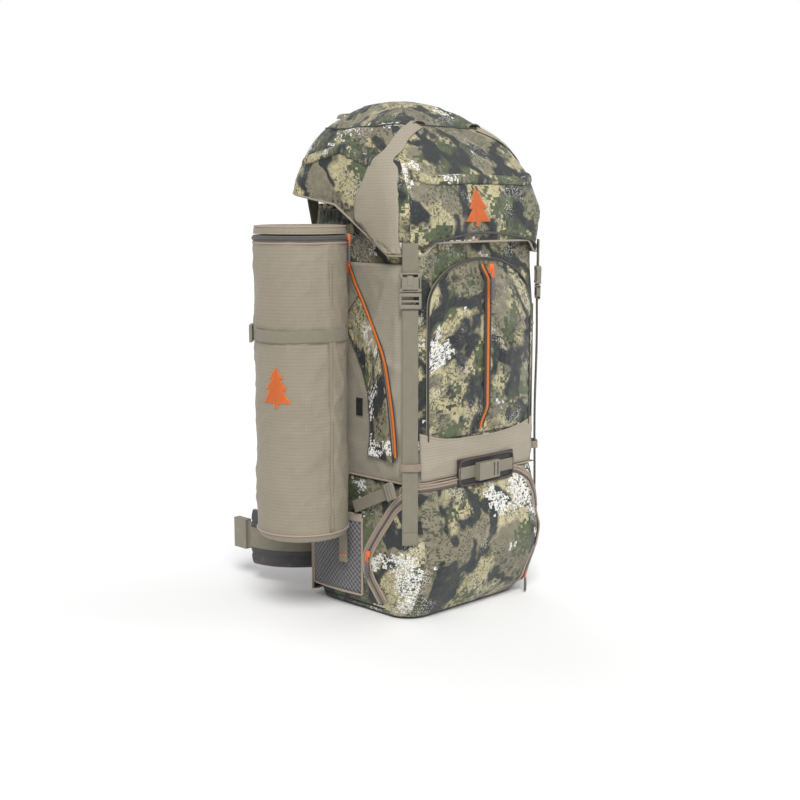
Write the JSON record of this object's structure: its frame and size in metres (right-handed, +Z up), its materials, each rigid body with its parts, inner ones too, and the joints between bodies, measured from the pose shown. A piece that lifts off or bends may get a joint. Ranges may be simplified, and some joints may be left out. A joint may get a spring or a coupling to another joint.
{
  "type": "hunting backpack",
  "caption": "Tall top-loading pack with hinged hood, zipped pockets, harness, hip belt and a tube case strapped to one side.",
  "frame": {"origin": "centre of the underside of the base, on the floor", "axes": "+Z up along the pack, -Y out of the front pocket, +Y towards the wearer, -X the side with the tube case"},
  "size_m": [0.4825, 0.4522, 0.808],
  "materials": {
    "camo_fabric": "printed brushed polyester, matt",
    "tan_fabric": "ripstop nylon, satin",
    "webbing": "ribbed polyester webbing",
    "orange_zip": "coil zip and cord",
    "buckle_plastic": "moulded acetal",
    "black_fabric": "coated base cloth",
    "grey_pad": "spacer mesh over foam",
    "mesh": "open hexagon mesh",
    "black_rubber": "embossed synthetic rubber",
    "stay_metal": "anodised bar",
    "spring_steel": "bright wire",
    "grey_zip": "grey coil zip",
    "black_plastic": "moulded sheet"
  },
  "bodies": {
    "pack": {"base_panel": "black_fabric", "lower_compartment": "camo_fabric", "compartment_divider": "tan_fabric", "main_sack": "tan_fabric", "extension_collar": "camo_fabric", "collar_drawcord": "webbing", "cord_lock_body": "buckle_plastic", "cord_lock_spring": "spring_steel", "front_pocket": "camo_fabric", "front_zip": "orange_zip", "front_yoke": "tan_fabric", "front_patch": "black_rubber", "patch_strap": "webbing", "patch_buckle_female": "buckle_plastic", "side_panel_left": "camo_fabric", "side_panel_right": "camo_fabric", "side_zip_left": "orange_zip", "side_zip_right": "orange_zip", "lower_zip": "tan_fabric", "mesh_pocket_left": "mesh", "mesh_pocket_right": "mesh", "compression_strap_left": "webbing", "compression_strap_right": "webbing", "hood_strap_left": "webbing", "hood_strap_right": "webbing", "frame_sheet": "black_plastic", "frame_stays": "stay_metal", "back_panel": "grey_pad", "lumbar_pad": "grey_pad", "shoulder_yoke": "grey_pad", "tube_shell": "tan_fabric", "tube_zip": "grey_zip", "tube_straps": "webbing"},
    "hood": {"hood_shell": "camo_fabric", "hood_lining": "tan_fabric", "gear_loops": "webbing", "rear_lid_straps": "webbing", "hood_buckle_female_left": "buckle_plastic", "hood_buckle_female_right": "buckle_plastic"},
    "cord_lock_button": {"cord_lock_button": "buckle_plastic"},
    "front_zip_slider": {"front_zip_slider": "orange_zip"},
    "front_zip_pull": {"front_zip_pull": "orange_zip"},
    "patch_buckle_male": {"patch_buckle_male": "buckle_plastic"},
    "side_slider_left": {"side_slider_left": "orange_zip"},
    "side_slider_right": {"side_slider_right": "orange_zip"},
    "lower_slider_left": {"lower_slider_left": "orange_zip"},
    "lower_slider_right": {"lower_slider_right": "orange_zip"},
    "hood_buckle_male_left": {"hood_buckle_male_left": "buckle_plastic"},
    "hood_buckle_male_right": {"hood_buckle_male_right": "buckle_plastic"},
    "shoulder_strap_left": {"shoulder_strap_left": "grey_pad"},
    "shoulder_strap_right": {"shoulder_strap_right": "grey_pad"},
    "sternum_strap_left": {"sternum_strap_left": "webbing"},
    "sternum_strap_right": {"sternum_strap_right": "webbing"},
    "hip_wing_left": {"hip_wing_left": "grey_pad"},
    "hip_wing_right": {"hip_wing_right": "grey_pad"},
    "hip_buckle_female": {"hip_buckle_female": "buckle_plastic"},
    "hip_buckle_male": {"hip_buckle_male": "buckle_plastic"},
    "haul_loop": {"haul_loop": "webbing"},
    "tube_lid": {"tube_lid": "tan_fabric"},
    "tube_slider": {"tube_slider": "orange_zip"}
  },
  "joints": [
    {"name": "hood_hinge", "type": "hinge", "parent": "pack", "child": "hood", "pos_m": [0, 0.125, 0.555], "axis": [-1, 0, 0], "range_deg": [0, 80]},
    {"name": "hood_buckle_left_slide", "type": "slide", "parent": "pack", "child": "hood_buckle_male_left", "axis": [0, 0, -1], "range_m": [0, 0.03]},
    {"name": "side_zip_left", "type": "hinge", "parent": "pack", "child": "side_slider_left", "pos_m": [-0.1566, 0.39323, 0.25578], "axis": [1, 0, 0], "range_deg": [0, 34.3]},
    {"name": "shoulder_strap_left_swing", "type": "hinge", "parent": "pack", "child": "shoulder_strap_left", "pos_m": [-0.081, 0.13, 0.508], "axis": [1, 0, 0], "range_deg": [0, 20]},
    {"name": "sternum_strap_left_slide", "type": "slide", "parent": "shoulder_strap_left", "child": "sternum_strap_left", "axis": [0, 0, 1], "range_m": [-0.02, 0.02]},
    {"name": "hip_wing_left_swing", "type": "hinge", "parent": "pack", "child": "hip_wing_left", "pos_m": [-0.1, 0.134, 0.083], "axis": [0, 0, 1], "range_deg": [-20, 25]},
    {"name": "hood_buckle_right_slide", "type": "slide", "parent": "pack", "child": "hood_buckle_male_right", "axis": [0, 0, -1], "range_m": [0, 0.03]},
    {"name": "side_zip_right", "type": "hinge", "parent": "pack", "child": "side_slider_right", "pos_m": [0.1566, 0.39323, 0.25578], "axis": [1, 0, 0], "range_deg": [0, 34.3]},
    {"name": "shoulder_strap_right_swing", "type": "hinge", "parent": "pack", "child": "shoulder_strap_right", "pos_m": [0.081, 0.13, 0.508], "axis": [1, 0, 0], "range_deg": [0, 20]},
    {"name": "sternum_strap_right_slide", "type": "slide", "parent": "shoulder_strap_right", "child": "sternum_strap_right", "axis": [0, 0, 1], "range_m": [-0.02, 0.02]},
    {"name": "hip_wing_right_swing", "type": "hinge", "parent": "pack", "child": "hip_wing_right", "pos_m": [0.1, 0.134, 0.083], "axis": [0, 0, -1], "range_deg": [-20, 25]},
    {"name": "hip_buckle_left_slide", "type": "slide", "parent": "hip_wing_left", "child": "hip_buckle_female", "axis": [0, 1, 0], "range_m": [0, 0.025]},
    {"name": "hip_buckle_right_slide", "type": "slide", "parent": "hip_wing_right", "child": "hip_buckle_male", "axis": [0, 1, 0], "range_m": [0, 0.025]},
    {"name": "patch_buckle_slide", "type": "slide", "parent": "pack", "child": "patch_buckle_male", "axis": [1, 0, 0], "range_m": [0, 0.02]},
    {"name": "lower_zip_left", "type": "slide", "parent": "pack", "child": "lower_slider_left", "axis": [0, -0.5281, 0.8492], "range_m": [0, 0.055]},
    {"name": "lower_zip_right", "type": "slide", "parent": "pack", "child": "lower_slider_right", "axis": [0.05, -0.4201, 0.9061], "range_m": [0, 0.02]},
    {"name": "front_zip_slide", "type": "slide", "parent": "pack", "child": "front_zip_slider", "axis": [0, 0, -1], "range_m": [0, 0.225]},
    {"name": "front_pull_hinge", "type": "hinge", "parent": "front_zip_slider", "child": "front_zip_pull", "pos_m": [0, -0.1645, 0.5535], "axis": [-1, 0, 0], "range_deg": [0, 110]},
    {"name": "haul_loop_hinge", "type": "hinge", "parent": "pack", "child": "haul_loop", "pos_m": [0, 0.1278, 0.543], "axis": [1, 0, 0], "range_deg": [0, 100]},
    {"name": "tube_lid_hinge", "type": "hinge", "parent": "pack", "child": "tube_lid", "pos_m": [-0.235, 0.0918, 0.6055], "axis": [-1, 0, 0], "range_deg": [0, 105]},
    {"name": "tube_zip_turn", "type": "hinge", "parent": "pack", "child": "tube_slider", "pos_m": [-0.235, 0.021, 0.604], "axis": [0, 0, 1], "range_deg": [-190, 0]},
    {"name": "cord_lock_press", "type": "slide", "parent": "pack", "child": "cord_lock_button", "axis": [0, 0, -1], "range_m": [0, 0.005], "stiffness_N_per_m": 300, "springref_m": -0.003, "deforming": ["cord_lock_spring"]}
  ]
}
